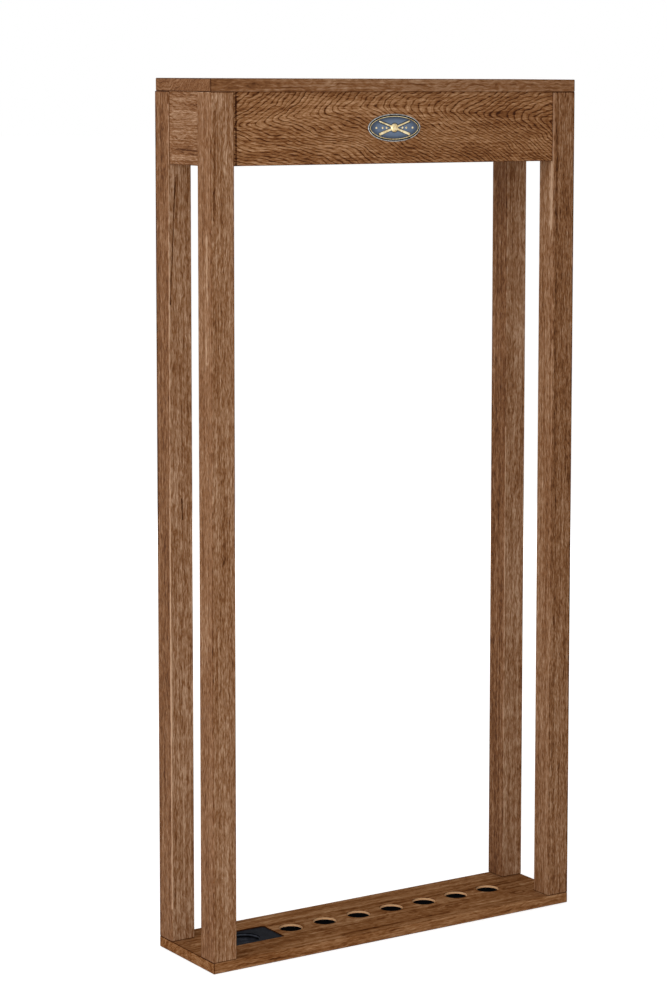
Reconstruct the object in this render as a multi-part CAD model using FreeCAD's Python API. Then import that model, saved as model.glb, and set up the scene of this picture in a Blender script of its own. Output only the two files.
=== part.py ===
import FreeCAD, Part
import math
import os

from FreeCAD import Placement, Rotation, Vector

# Wall cue rack. Millimetres. X runs along the wall, +Y points into the wall, +Z is up.
# The origin is under the middle of the base, on the floor of the bounding box.

# Overall sizes
rack_width = 756.0
rack_depth = 191.0
rack_height = 1524.0

# Boards and posts
base_thick = 19.0
cap_thick = 22.0
post_size = 45.0
rail_thick = 19.0
header_height = 124.0
header_recess = 6.0
apron_recess = 3.0
cap_rear_inset = 3.0
edge_ease = 1.5

# Cue wells and the pad for the mechanical bridge
well_count = 7
well_radius = 21.0
well_depth = 3.8
well_rim_round = 1.5
well_felt_radius = 20.5
well_felt_thick = 2.0
line_behind_middle = 7.5
bridge_margin = 75.0
bridge_to_first_well = 96.5
last_well_margin = 65.0
pad_length = 124.0
pad_width = 75.0
pad_corner = 4.0
pad_thick = 11.0
pad_sunk = 2.0
pad_well_radius = 28.0
pad_well_depth = 8.0
pad_clearance = 0.25

# Notched rail that holds the shafts upright
cue_rail_thick = 19.0
cue_rail_below_cap = 46.0
notch_radius = 11.0
bridge_notch_radius = 15.0
notch_finger = 25.0
mouth_round = 4.0
liner_thick = 2.0
liner_setback = 5.0

# Battens that take the cap screws
cleat_size = 16.0
cleat_end_gap = 12.0

# Dowels
dowel_radius = 4.0
dowel_half = 18.0
dowel_spacing = 60.0
cap_dowel_radius = 5.0
cap_dowel_in_cap = 13.0
cap_dowel_in_post = 21.0
dowel_relief = 1.0

# Screws
screw_radius = 2.1
screw_head_radius = 4.2
screw_tip = 5.0
screw_sink = 0.5
screw_clearance = 0.3
base_screw_length = 50.0
base_screw_offset = 11.0
rail_screw_length = 50.0
cap_screw_length = 29.0
recess_width = 0.9
recess_span = 4.4
recess_depth = 1.6

# Wall fixing
stud_spacing = 406.4
wall_hole_radius = 3.0
wall_sink_radius = 6.0
wall_hole_up = 26.0

# Badge
badge_length = 108.0
badge_height = 48.0
badge_thick = 2.0
badge_rim = 3.0
badge_well = 0.7
enamel_thick = 0.6
emblem_thick = 0.6
badge_shift = -10.0
pin_radius = 1.0
pin_length = 8.0
pin_spacing = 70.0

# Levels and faces that follow from the sizes above
front = -rack_depth / 2
back = rack_depth / 2
outer = rack_width / 2
inner = outer - post_size
base_top = base_thick
cap_bottom = rack_height - cap_thick
post_height = cap_bottom - base_top
header_bottom = cap_bottom - header_height
header_middle = cap_bottom - header_height / 2
header_front = front + header_recess
header_back = header_front + rail_thick
rear_rail_front = back - rail_thick
post_front_y = front + post_size / 2
post_rear_y = back - post_size / 2
post_x = outer - post_size / 2
front_post_back = front + post_size
rear_post_front = back - post_size
apron_outer = outer - apron_recess
apron_middle = apron_outer - rail_thick / 2
cue_rail_top = cap_bottom - cue_rail_below_cap
cue_rail_bottom = cue_rail_top - cue_rail_thick
line_y = line_behind_middle
cue_rail_front = line_y - notch_finger
bridge_x = -inner + bridge_margin
first_well_x = bridge_x + bridge_to_first_well
last_well_x = inner - last_well_margin
well_pitch = (last_well_x - first_well_x) / (well_count - 1)
well_xs = [first_well_x + i * well_pitch for i in range(well_count)]
dowel_zs = [header_middle - dowel_spacing / 2, header_middle + dowel_spacing / 2]
wall_hole_z = header_bottom + wall_hole_up

X = Vector(1, 0, 0)
Y = Vector(0, 1, 0)
Z = Vector(0, 0, 1)


def block(x0, x1, y0, y1, z0, z1):
    return Part.makeBox(x1 - x0, y1 - y0, z1 - z0, Vector(x0, y0, z0))


def rod(start, along, radius, length):
    return Part.makeCylinder(radius, length, start, along)


def cut_all(shape, tools):
    for tool in tools:
        shape = shape.cut(tool)
    return shape


def runs_along(edge, axis):
    ends = edge.Vertexes
    if len(ends) < 2:
        return False
    way = ends[1].Point.sub(ends[0].Point)
    return way.Length > 1e-6 and abs(way.dot(axis)) / way.Length > 0.999


def ease(shape, radius, wanted):
    return shape.makeFillet(radius, [e for e in shape.Edges if wanted(e)])


def is_level_circle(edge, radius, z):
    if edge.Degenerated or not isinstance(edge.Curve, Part.Circle):
        return False
    curve = edge.Curve
    return abs(curve.Radius - radius) < 0.01 and abs(curve.Center.z - z) < 0.01


def rounded_plate(cx, cy, length, width, corner, z0, thick):
    plate = block(cx - length / 2, cx + length / 2, cy - width / 2, cy + width / 2, z0, z0 + thick)
    return ease(plate, corner, lambda e: runs_along(e, Z))


def turned(shape, at, along):
    shape = shape.copy()
    shape.Placement = Placement(at, Rotation(Z, along))
    return shape


def screw(length, at, along):
    """A countersunk wood screw with its head's flat face at `at` and its tip `length` further on."""
    head = screw_head_radius - screw_radius
    body = Part.makeCone(screw_head_radius, screw_radius, head)
    body = body.fuse(rod(Vector(0, 0, head), Z, screw_radius, length - head - screw_tip))
    body = body.fuse(Part.makeCone(screw_radius, 0.4, screw_tip, Vector(0, 0, length - screw_tip)))
    for wide, deep in ((recess_span, recess_width), (recess_width, recess_span)):
        body = body.cut(block(-wide / 2, wide / 2, -deep / 2, deep / 2, -1, recess_depth))
    return turned(body.removeSplitter(), at, along)


def screw_way(through, at, along):
    """The hole that a screw passes through: a sunk seat for its head, then a clearance hole."""
    head = screw_head_radius - screw_radius
    hole = rod(Vector(0, 0, -1), Z, screw_head_radius, 1 + screw_sink)
    hole = hole.fuse(Part.makeCone(screw_head_radius, screw_radius, head, Vector(0, 0, screw_sink)))
    hole = hole.fuse(rod(Vector(0, 0, -1), Z, screw_radius + screw_clearance, through + 2))
    return turned(hole, at, along)


def pilot(at, along, depth):
    """The hole that a screw's thread bites into, a little deeper than its tip."""
    return rod(at - along, along, screw_radius, depth + 1 + dowel_relief)


def notch(x, radius, z0, z1, reach):
    """An upright U: a round end on the cue line, open to the front as far as `reach`."""
    tall = z1 - z0
    end = Part.makeCylinder(radius, tall, Vector(x, line_y, z0))
    return end.fuse(block(x - radius, x + radius, reach, line_y, z0, z1)).removeSplitter()


def save(name, shape):
    solids = shape.Solids
    whole = solids[0] if len(solids) == 1 else Part.makeCompound(solids)
    whole.exportStep(os.path.join("parts", name + ".step"))


# Shared positions of fasteners
base_screws_at = []
for sx in (-1, 1):
    for sy in (-1, 1):
        cx = sx * post_x
        cy = post_rear_y if sy > 0 else post_front_y
        base_screws_at.append(Vector(cx - base_screw_offset, cy - sy * base_screw_offset, 0))
        base_screws_at.append(Vector(cx + base_screw_offset, cy + sy * base_screw_offset, 0))
base_screw_bite = base_screw_length - (base_thick - screw_sink)

cap_dowels_at = [Vector(sx * post_x, y, cap_bottom) for sx in (-1, 1) for y in (post_front_y, post_rear_y)]

header_y = (header_front + header_back) / 2
rear_rail_y = (rear_rail_front + back) / 2
header_dowels_at = [Vector(sx * inner, header_y, z) for sx in (-1, 1) for z in dowel_zs]
rear_rail_dowels_at = [Vector(sx * inner, rear_rail_y, z) for sx in (-1, 1) for z in dowel_zs]
apron_dowels_at = [
    Vector(sx * apron_middle, y, z)
    for sx in (-1, 1)
    for y in (front_post_back, rear_post_front)
    for z in dowel_zs
]


def dowels(places, axis):
    return [rod(p - axis * dowel_half, axis, dowel_radius, 2 * dowel_half) for p in places]


def dowel_holes(places, axis):
    deep = dowel_half + dowel_relief
    return [rod(p - axis * deep, axis, dowel_radius, 2 * deep) for p in places]


cap_dowel_holes = [
    rod(p - Z * (cap_dowel_in_post + dowel_relief), Z, cap_dowel_radius,
        cap_dowel_in_post + cap_dowel_in_cap + 2 * dowel_relief)
    for p in cap_dowels_at
]
side_holes = (
    dowel_holes(header_dowels_at, X)
    + dowel_holes(rear_rail_dowels_at, X)
    + dowel_holes(apron_dowels_at, Y)
)

rail_middle = inner - 40.0
rail_screw_xs = [-0.9 * rail_middle, -0.3 * rail_middle, 0.3 * rail_middle, 0.9 * rail_middle]
cue_rail_middle_z = (cue_rail_top + cue_rail_bottom) / 2
rail_screws_at = [Vector(x, back, cue_rail_middle_z) for x in rail_screw_xs]
rail_screw_bite = rail_screw_length - (rail_thick - screw_sink)

cleat_half = inner - cleat_end_gap
cleat_bottom = cap_bottom - cleat_size
cleat_ys = {"front": header_back + cleat_size / 2, "rear": rear_rail_front - cleat_size / 2}
cap_screw_xs = [-0.8 * cleat_half, 0.0, 0.8 * cleat_half]
cap_screws_at = {
    side: [Vector(x, y, cleat_bottom) for x in cap_screw_xs] for side, y in cleat_ys.items()
}
cap_screw_bite = cap_screw_length - (cleat_size - screw_sink)

os.makedirs("parts", exist_ok=True)

# Base board: eased all round, with stepped wells rounded at their rims, a recess for the pad and
# screw holes from below
base = block(-outer, outer, front, back, 0, base_top)
base = ease(base, edge_ease, lambda e: True)
well_tools = []
for x in well_xs:
    well_tools.append(rod(Vector(x, line_y, base_top - well_depth), Z, well_radius, well_depth + 1))
    seat = base_top - well_depth - well_felt_thick
    well_tools.append(rod(Vector(x, line_y, seat), Z, well_felt_radius, well_felt_thick + 1))
recess_floor = base_top - pad_sunk - pad_thick
pad_recess = rounded_plate(
    bridge_x, line_y, pad_length, pad_width, pad_corner, recess_floor, base_top - recess_floor + 1
)
base = cut_all(base, well_tools + [pad_recess])
base = ease(base, well_rim_round, lambda e: is_level_circle(e, well_radius, base_top))
base = cut_all(base, [screw_way(base_thick, p, Z) for p in base_screws_at])
save("base_board", base)

felts = [
    rod(Vector(x, line_y, base_top - well_depth - well_felt_thick), Z, well_felt_radius, well_felt_thick)
    for x in well_xs
]
save("well_felts", Part.makeCompound(felts))

pad = rounded_plate(
    bridge_x,
    line_y,
    pad_length - 2 * pad_clearance,
    pad_width - 2 * pad_clearance,
    pad_corner - pad_clearance,
    recess_floor,
    pad_thick,
)
pad_top = recess_floor + pad_thick
pad_seat = rod(Vector(bridge_x, line_y, pad_top - pad_well_depth), Z, pad_well_radius, pad_well_depth + 1)
pad = pad.cut(pad_seat)
save("bridge_pad", pad)

# Posts: eased all round, ends too, with holes for dowels and screws
for side, sx in (("left", -1), ("right", 1)):
    for place, cy in (("front", post_front_y), ("rear", post_rear_y)):
        x0 = sx * post_x - post_size / 2
        y0 = cy - post_size / 2
        post = block(x0, x0 + post_size, y0, y0 + post_size, base_top, cap_bottom)
        post = ease(post, edge_ease, lambda e: True)
        post = cut_all(post, side_holes + cap_dowel_holes)
        post = cut_all(post, [pilot(p + Z * base_top, Z, base_screw_bite) for p in base_screws_at])
        save("post_" + place + "_" + side, post)

# Top cap: eased all round, held forward of the wall by a small inset
cap = block(-outer, outer, front, back - cap_rear_inset, cap_bottom, rack_height)
cap = ease(cap, edge_ease, lambda e: True)
cap = cut_all(cap, cap_dowel_holes)
for places in cap_screws_at.values():
    cap = cut_all(cap, [pilot(p + Z * cleat_size, Z, cap_screw_bite) for p in places])
save("top_cap", cap)

# Rails under the cap: header in front, aprons at the sides, a wall rail at the back
badge_pins_at = [
    Vector(badge_shift + s * pin_spacing / 2, header_front, header_middle) for s in (-1, 1)
]
header = block(-inner, inner, header_front, header_back, header_bottom, cap_bottom)
header = ease(
    header, edge_ease, lambda e: runs_along(e, X) and e.CenterOfMass.z < header_bottom + 1
)
header = cut_all(header, dowel_holes(header_dowels_at, X))
header = cut_all(
    header, [rod(p, Y, pin_radius, pin_length + dowel_relief) for p in badge_pins_at]
)
save("header_board", header)

for side, sx in (("left", -1), ("right", 1)):
    near, far = sorted((sx * apron_outer, sx * (apron_outer - rail_thick)))
    apron = block(near, far, front_post_back, rear_post_front, header_bottom, cap_bottom)
    apron = ease(
        apron, edge_ease, lambda e: runs_along(e, Y) and e.CenterOfMass.z < header_bottom + 1
    )
    save("side_apron_" + side, cut_all(apron, dowel_holes(apron_dowels_at, Y)))

rear_rail = block(-inner, inner, rear_rail_front, back, header_bottom, cap_bottom)
rear_rail = ease(
    rear_rail, edge_ease, lambda e: runs_along(e, X) and e.CenterOfMass.z < header_bottom + 1
)
rear_rail = cut_all(rear_rail, dowel_holes(rear_rail_dowels_at, X))
rear_rail = cut_all(rear_rail, [screw_way(rail_thick, p, -Y) for p in rail_screws_at])
for s in (-1, 1):
    at = Vector(s * stud_spacing / 2, rear_rail_front, wall_hole_z)
    rear_rail = rear_rail.cut(rod(at - Y, Y, wall_hole_radius, rail_thick + 2))
    sink = wall_sink_radius - wall_hole_radius
    rear_rail = rear_rail.cut(Part.makeCone(wall_sink_radius, wall_hole_radius, sink, at, Y))
save("rear_rail", rear_rail)

# Notched rail behind the header, with a felt lining in each notch
notches = [(x, notch_radius) for x in well_xs] + [(bridge_x, bridge_notch_radius)]
cue_rail = block(-inner, inner, cue_rail_front, rear_rail_front, cue_rail_bottom, cue_rail_top)
for x, radius in notches:
    cue_rail = cue_rail.cut(notch(x, radius, cue_rail_bottom - 1, cue_rail_top + 1, cue_rail_front - 1))
cue_rail = ease(
    cue_rail,
    mouth_round,
    lambda e: runs_along(e, Z)
    and abs(e.CenterOfMass.y - cue_rail_front) < 0.01
    and abs(e.CenterOfMass.x) < inner - 1,
)
cue_rail = cut_all(
    cue_rail, [pilot(p - Y * rail_thick, -Y, rail_screw_bite) for p in rail_screws_at]
)
save("cue_rail", cue_rail)


def liner(x, radius):
    outside = notch(x, radius, cue_rail_bottom, cue_rail_top, cue_rail_front + liner_setback)
    inside = notch(x, radius - liner_thick, cue_rail_bottom - 1, cue_rail_top + 1, cue_rail_front)
    return outside.cut(inside)


save("notch_liners", Part.makeCompound([liner(x, notch_radius) for x in well_xs]))
save("bridge_notch_liner", liner(bridge_x, bridge_notch_radius))

# Battens glued to the header and the rear rail, screwed up into the cap
for side, y in cleat_ys.items():
    cleat = block(
        -cleat_half, cleat_half, y - cleat_size / 2, y + cleat_size / 2, cleat_bottom, cap_bottom
    )
    cleat = cut_all(cleat, [screw_way(cleat_size, p, Z) for p in cap_screws_at[side]])
    save("cap_cleat_" + side, cleat)

# Fasteners
save("base_screws", Part.makeCompound(
    [screw(base_screw_length, p + Z * screw_sink, Z) for p in base_screws_at]
))
save("cue_rail_screws", Part.makeCompound(
    [screw(rail_screw_length, p - Y * screw_sink, -Y) for p in rail_screws_at]
))
save("cap_screws", Part.makeCompound(
    [screw(cap_screw_length, p + Z * screw_sink, Z) for ps in cap_screws_at.values() for p in ps]
))
save("header_dowels", Part.makeCompound(dowels(header_dowels_at, X)))
save("rear_rail_dowels", Part.makeCompound(dowels(rear_rail_dowels_at, X)))
save("apron_dowels", Part.makeCompound(dowels(apron_dowels_at, Y)))
save("cap_dowels", Part.makeCompound([
    rod(p - Z * cap_dowel_in_post, Z, cap_dowel_radius, cap_dowel_in_post + cap_dowel_in_cap)
    for p in cap_dowels_at
]))


# Badge: an oval plate with a raised rim, an enamel field and a raised motif, pinned to the header
def oval(length, height, z0, thick):
    rim = Part.Ellipse(Vector(0, 0, z0), length / 2, height / 2).toShape()
    return Part.Face(Part.Wire([rim])).extrude(Vector(0, 0, thick))


def on_header(shape):
    shape = shape.copy()
    shape.Placement = Placement(
        Vector(badge_shift, header_front, header_middle), Rotation(X, 90)
    )
    return shape


def tapered_bar(length, wide, narrow, z0, thick, degrees):
    h = length / 2
    points = [
        Vector(-h, -wide / 2, z0),
        Vector(h, -narrow / 2, z0),
        Vector(h, narrow / 2, z0),
        Vector(-h, wide / 2, z0),
        Vector(-h, -wide / 2, z0),
    ]
    bar = Part.Face(Part.makePolygon(points)).extrude(Vector(0, 0, thick))
    bar.rotate(Vector(0, 0, 0), Z, degrees)
    return bar


floor = badge_thick - badge_well
inside_length = badge_length - 2 * badge_rim
inside_height = badge_height - 2 * badge_rim
plate = oval(badge_length, badge_height, 0, badge_thick)
plate = plate.cut(oval(inside_length, inside_height, floor, badge_well + 1))
save("badge_plate", on_header(plate))
save("badge_enamel", on_header(oval(inside_length, inside_height, floor, enamel_thick)))

motif_floor = floor + enamel_thick
bar_length = 0.62 * badge_length
lean = math.degrees(math.asin(0.5 * badge_height / bar_length))
emblem = tapered_bar(bar_length, 3.6, 1.6, motif_floor, emblem_thick, lean)
emblem = emblem.fuse(tapered_bar(bar_length, 3.6, 1.6, motif_floor, emblem_thick, 180 - lean))
emblem = emblem.fuse(rod(Vector(0, 0, motif_floor), Z, 7.5, emblem_thick))
save("badge_emblem", on_header(emblem.removeSplitter()))
save("badge_pins", Part.makeCompound([rod(p, Y, pin_radius, pin_length) for p in badge_pins_at]))
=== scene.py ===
import math
from functools import partial

import bmesh
import bpy
from mathutils import Matrix, Vector, noise


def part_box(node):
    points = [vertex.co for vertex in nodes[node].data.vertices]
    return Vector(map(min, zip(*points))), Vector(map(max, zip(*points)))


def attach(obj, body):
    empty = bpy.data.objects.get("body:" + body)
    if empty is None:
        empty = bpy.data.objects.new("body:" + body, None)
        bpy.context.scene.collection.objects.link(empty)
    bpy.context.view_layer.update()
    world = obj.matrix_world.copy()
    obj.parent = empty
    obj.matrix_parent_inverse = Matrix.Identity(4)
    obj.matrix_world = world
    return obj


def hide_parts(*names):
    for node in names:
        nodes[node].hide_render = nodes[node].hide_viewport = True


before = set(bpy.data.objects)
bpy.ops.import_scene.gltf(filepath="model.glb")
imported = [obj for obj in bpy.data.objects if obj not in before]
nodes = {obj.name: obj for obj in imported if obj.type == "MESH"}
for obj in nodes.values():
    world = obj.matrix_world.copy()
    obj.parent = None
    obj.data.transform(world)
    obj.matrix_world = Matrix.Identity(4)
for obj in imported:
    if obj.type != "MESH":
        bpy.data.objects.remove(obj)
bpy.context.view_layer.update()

mm = 0.001
mergeWithin = 0.002 * mm   # points nearer than this are one point


def linear(hexColour):   # sRGB hex to the linear values that shaders work in
    parts = [int(hexColour[i:i + 2], 16) / 255 for i in (1, 3, 5)]
    return [c / 12.92 if c <= 0.04045 else ((c + 0.055) / 1.055) ** 2.4 for c in parts] + [1.0]


# One node with its settings and what goes into it. A ramp's stops are hex colours or grey levels.
def addNode(tree, kind, sources=None, stops=None, **settings):
    made = tree.nodes.new("ShaderNode" + kind)
    for name, value in settings.items():
        setattr(made, name, value)
    for name, value in (sources or {}).items():
        if isinstance(value, bpy.types.Node):
            value = value.outputs[0]
        if isinstance(value, bpy.types.NodeSocket):
            tree.links.new(value, made.inputs[name])
        else:
            made.inputs[name].default_value = value
    if stops:
        points = made.color_ramp.elements
        points.remove(points[-1])
        for index, (place, colour) in enumerate(stops):
            point = points[0] if index == 0 else points.new(place)
            point.position = place
            point.color = linear(colour) if isinstance(colour, str) else (colour, colour, colour, 1)
    return made


def newMaterial(name):
    material = bpy.data.materials.new(name)
    material.use_nodes = True
    material.node_tree.nodes.clear()
    return material, partial(addNode, material.node_tree)


def placeInMm(add):   # where a point lies on the rack, counted in mm
    return add("Mapping", {"Vector": add("TexCoord").outputs["Object"], "Scale": (1000, 1000, 1000)})


def giveMaterial(node, material):
    nodes[node].data.materials.clear()
    nodes[node].data.materials.append(material)


# White oak, planed and rubbed with a dark walnut oil stain. The eye gets broken growth rings that close
# into arches where the cut runs flat to them, dark pores in short dashes, soft bands where the stain
# soaked in unevenly, rubbed arrises and a low sheen. Every length here is in mm.
grainTurns = {   # brings each board's long way onto x
    "X": (0, 0, 0),
    "Y": (0, 0, -math.pi / 2),
    "Z": (0, math.pi / 2, 0),
}

# how long each mark is along the grain and the two ways across it, how fine its detail, and which part
# of its noise counts; pores are 0.3 mm wide and are drawn wider here, so that they show
oakMarks = {
    "bendAcross": {"size": (200, 85, 85), "detail": 2, "spread": (0, 1)},
    "bendUp": {"size": (170, 85, 85), "detail": 2, "spread": (0, 1)},
    "ripple": {"size": (24, 15, 15), "detail": 1, "spread": (0, 1)},
    "growth": {"size": (250, 50, 50), "detail": 2, "spread": (0, 1)},
    "mottle": {"size": (110, 26, 26), "detail": 3, "spread": (0.34, 0.66)},
    "streak": {"size": (300, 9, 9), "detail": 3, "spread": (0.34, 0.66)},
    "line": {"size": (420, 2.6, 2.6), "detail": 2, "spread": (0.34, 0.66)},
    "dash": {"size": (15, 1.8, 1.8), "detail": 2, "spread": (0.62, 0.38)},
    "pore": {"size": (7, 1.1, 1.1), "detail": 1, "spread": (0.56, 0.4)},
    "rub": {"size": (90, 40, 40), "detail": 3, "spread": (0.36, 0.64)},
}

oakGrowth = {
    "sway": 12,              # how far the heart wanders across the board
    "rise": 34,              # and up
    "ripple": 8,             # how far small ripples push the rings
    "drift": 3,              # how many years a slow change of growth is worth
    "fibre": (22, 2.2),      # how long and thick the fibres between the rings are
    "bowReach": 300,         # how far from the middle of a board its heart sags by the board's bow
    # how porous the wood is through one year, from its spring to the next
    "year": [(0.0, 0.2), (0.08, 1.0), (0.17, 0.8), (0.3, 0.2), (0.45, 0.0), (0.88, 0.0), (1.0, 0.2)],
}

# how much each mark darkens the wood, where 1 is the whole way from the palest wood to the darkest
oakDarkening = {
    "mottle": 0.2,
    "streak": 0.24,
    "line": 0.2,
    "dash": 0.28,
    "pore": 0.2,
    "fibre": 0.22,
    "rings": 0.8,
    "jointShade": 0.5,
    "rim": 0.4,
    "stainedCut": 0.5,
    "rawCutAndLight": -0.5,
}

oakFinish = {
    "coolStain": [
        (0.0, "#b9967a"), (0.26, "#967255"), (0.5, "#7a5030"), (0.76, "#522f17"), (1.0, "#32190a")],
    "warmStain": [
        (0.0, "#b98f6b"), (0.26, "#966c48"), (0.5, "#7b4e2b"), (0.76, "#522c13"), (1.0, "#331808")],
    "rawWoodAndLight": "#e2b487",
    "rawAndLightShare": 0.75,        # how far a bore cut after staining shows the raw wood and its painted light
    "roughness": 0.53,
    "poreRoughness": 0.15,   # how much rougher the darkest pores are
    "poreRelief": 0.2,       # how deep the pores and early wood lie below the surface
    "faceSkin": (0.3, 1.3),  # how deep a face's own tone goes: all of it, and none of it
    "arrisWidth": 2.2,       # worn or stained strip along each edge
    "cutFrom": (0.5, 1.1),   # how far inside the faces the walls of bores begin
    "flawFade": (0.3, 1.5),  # where a flaw is whole and where it is gone, in its half widths
    # painted shade at a board's ends, where it meets the next part, and round the rims of its bores
    "jointShade": {"width": 2.0, "stops": [(0.01, 0.0), (0.03, 1.0), (0.1, 0.7), (0.2, 0.0)]},
    "rim": {"width": 0.9, "stops": [(0.08, 0.0), (0.18, 1.0), (0.34, 0.8), (0.5, 0.0)]},
}

# grain is the way the board runs and heart the middle of its log, across the grain. ring is the width of
# a year's growth, and figure how strongly the rings show. The figure closes at eye, as bluntly as blunt
# says, with taper how fast the log narrows and lean how far the cut tilts. bow is how far the heart sags
# towards the board's ends. stain names its tones, depth is how much stain it took, and specular how much
# its surface shines. streaks and pores scale its broad and its fine marks. arris is what its edges did:
# below 0 rubbed pale, above 0 stained dark. faces says how much darker the sides across an axis are, a
# painted light and shade on whole sides. Bores within stainedTo of its low end were stained with it, the
# others were cut afterwards and show raw wood with painted light on it. A flaw is a streak, a drying
# check, a painted shadow or a painted highlight: from, to, counted from the board's lowest corner, half
# width, how much darker.
anyBoard = {
    "grain": "X", "ring": 7.0, "figure": 0.25, "blunt": 60, "lean": 0, "bow": 0, "stain": "coolStain",
    "depth": 0.46, "specular": 0.06, "streaks": 0.8, "pores": 0.7, "arris": -0.2, "faces": {},
    "stainedTo": 0, "flaws": []}
anyPost = {**anyBoard, "grain": "Z", "figure": 0.15, "streaks": 0.6, "pores": 0.85, "arris": -0.1}
anyApron = {**anyBoard, "grain": "Y", "figure": 0.3, "taper": 0.05, "arris": 0.2}
anyRail = {**anyBoard, "ring": 8.0, "figure": 0.5, "blunt": 50}
anyCleat = {**anyBoard, "figure": 0.4, "eye": -900, "blunt": 50, "taper": 0.03}

oakBoards = {
    "header_board": {
        **anyBoard, "seed": 1, "heart": (-84, 1476), "ring": 6.6, "figure": 1.0, "eye": 345, "blunt": 14,
        "taper": 0.45, "lean": -0.1, "bow": 26, "stain": "warmStain", "depth": 0.34, "pores": 0.8,
        "arris": 0.25,
        "flaws": [
            # painted shade: the shadow gap where the header meets the left post
            ((7, 0, 0), (7, 0, 124), 2.2, 0.8),
            # painted shade: the shadow under the cap's overhang
            ((0, 0, 123), (120, 0, 123), 2, 0.35),
            ((150, 0, 10), (520, 0, 12), 22, 0.1),
            ((330, 0, 15), (660, 0, 12), 25, 0.12),
            # painted shade: the header darker towards its right end
            ((560, 0, 70), (660, 0, 70), 60, 0.06),
        ]},
    "top_cap": {
        **anyBoard, "seed": 7, "heart": (60, 1590), "eye": -900, "taper": 0.02, "streaks": 0.5,
        # faces: painted shade on the cap's ends
        "pores": 0.4, "faces": {"X": 0.05}},
    "base_board": {
        **anyBoard, "seed": 12, "heart": (-30, -70), "ring": 9.0, "eye": 900, "taper": 0.05,
        "stain": "warmStain", "depth": 0.39, "specular": 0.0, "streaks": 0.9, "pores": 0.5,
        "stainedTo": 188,
        "flaws": [
            ((270, 16, 19), (500, 21, 19), 7, 0.35),
            ((430, 120, 19), (700, 112, 19), 8, 0.25),
        ]},
    "post_front_left": {
        **anyPost, "seed": 21, "heart": (-160, 420), "eye": 1700, "taper": 0.012, "depth": 0.38,
        # faces: painted light and shade on its sides
        "faces": {"X": 0.05},
        "flaws": [
            ((0, 17, 1240), (0, 16, 1030), 5, -0.4),
            ((26, 0, 1430), (28, 0, 1350), 8, -0.25),
            ((9, 0, 1450), (5, 0, 1270), 4, 0.3),
            # partly stain, partly painted shade: dark down the right-hand arris of the front
            ((45, 0, 1480), (45, 0, 700), 3, 0.45),
            # painted highlight: the eased top edge of the left side
            ((0, 0, 1482), (0, 45, 1482), 1.2, -0.6),
            # painted shade: the left side darker towards the bottom
            ((0, 22, 520), (0, 22, 0), 30, 0.1),
        ]},
    "post_front_right": {
        **anyPost, "seed": 33, "heart": (-150, -290), "eye": -300, "taper": 0.012, "depth": 0.43,
        # faces: painted light and shade on its sides
        "faces": {"X": -0.03, "Y": 0.06},
        "flaws": [
            # partly stain, partly painted shade: dark down the right-hand arris of the front
            ((45, 0, 1480), (45, 0, 0), 3, 0.6),
            ((0, 7, 1480), (0, 8, 1240), 6, -0.3),
            ((6, 0, 1420), (7, 0, 800), 4, 0.2),
            # painted light: the front lighter towards the bottom
            ((22, 0, 500), (22, 0, 0), 30, -0.07),
        ]},
    "post_rear_left": {
        **anyPost, "seed": 45, "heart": (-20, 300), "eye": 2200, "taper": 0.01, "depth": 0.42,
        # faces: painted light and shade on its sides
        "faces": {"X": 0.1, "Y": -0.08},
        "flaws": [
            ((14, 0, 1336), (3, 0, 1120), 1.3, 0.7),
            # painted highlight: the front-left arris
            ((0.5, 0, 1460), (0.5, 0, 60), 2, -0.7),
            ((17, 0, 1340), (16, 0, 1250), 3, 0.3),
            ((23.5, 0, 782), (25, 0, 746), 1.8, 0.8),
            ((0, 44, 1460), (0, 44, 700), 6, 0.4),
        ]},
    "post_rear_right": {
        **anyPost, "seed": 57, "heart": (150, -420), "eye": -500, "taper": 0.012,
        # faces: painted light and shade on its sides
        "faces": {"X": 0.1, "Y": -0.07},
        "flaws": [
            # painted highlight: the front-left arris
            ((0.5, 0, 860), (0.5, 0, 220), 2, -0.5),
            # painted light: the front lighter towards the bottom
            ((22, 0, 600), (22, 0, 0), 30, -0.1),
        ]},
    "side_apron_left": {
        **anyApron, "seed": 61, "heart": (390, 1000), "eye": 300, "depth": 0.44,
        "flaws": [
            ((0, 5, 25), (0, 95, 27), 2, 0.5),
            ((0, 10, 15), (0, 90, 15), 6, -0.3),
            # painted highlight: the eased top edge
            ((0, 0, 123.5), (0, 101, 123.5), 1.2, -0.5),
        ]},
    "side_apron_right": {**anyApron, "seed": 67, "heart": (-390, 1000), "eye": -300, "depth": 0.45},
    "rear_rail": {
        **anyRail, "seed": 73, "heart": (170, 1400), "eye": -200, "taper": 0.2, "lean": 0.1, "arris": 0.2},
    "cue_rail": {**anyRail, "seed": 79, "heart": (30, 1380), "eye": 200, "taper": 0.15},
    "cap_cleat_front": {**anyCleat, "seed": 83, "heart": (-120, 1420)},
    "cap_cleat_rear": {**anyCleat, "seed": 89, "heart": (120, 1420)},
}


def grainMarks(add, alongGrain, seed):
    marks = {}
    for index, (mark, facts) in enumerate(oakMarks.items()):
        spot = add("Mapping", {
            "Vector": alongGrain,
            "Location": (seed + 40 * index, seed * 0.7, seed * 0.3),   # another part of the noise each time
            "Scale": [1 / length for length in facts["size"]],
        })
        cloud = add("TexNoise", {"Vector": spot, "Scale": 1, "Detail": facts["detail"], "Roughness": 0.6})
        least, most = facts["spread"]
        marks[mark] = add("MapRange", {"Value": cloud, "From Min": least, "From Max": most})
    return marks


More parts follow.
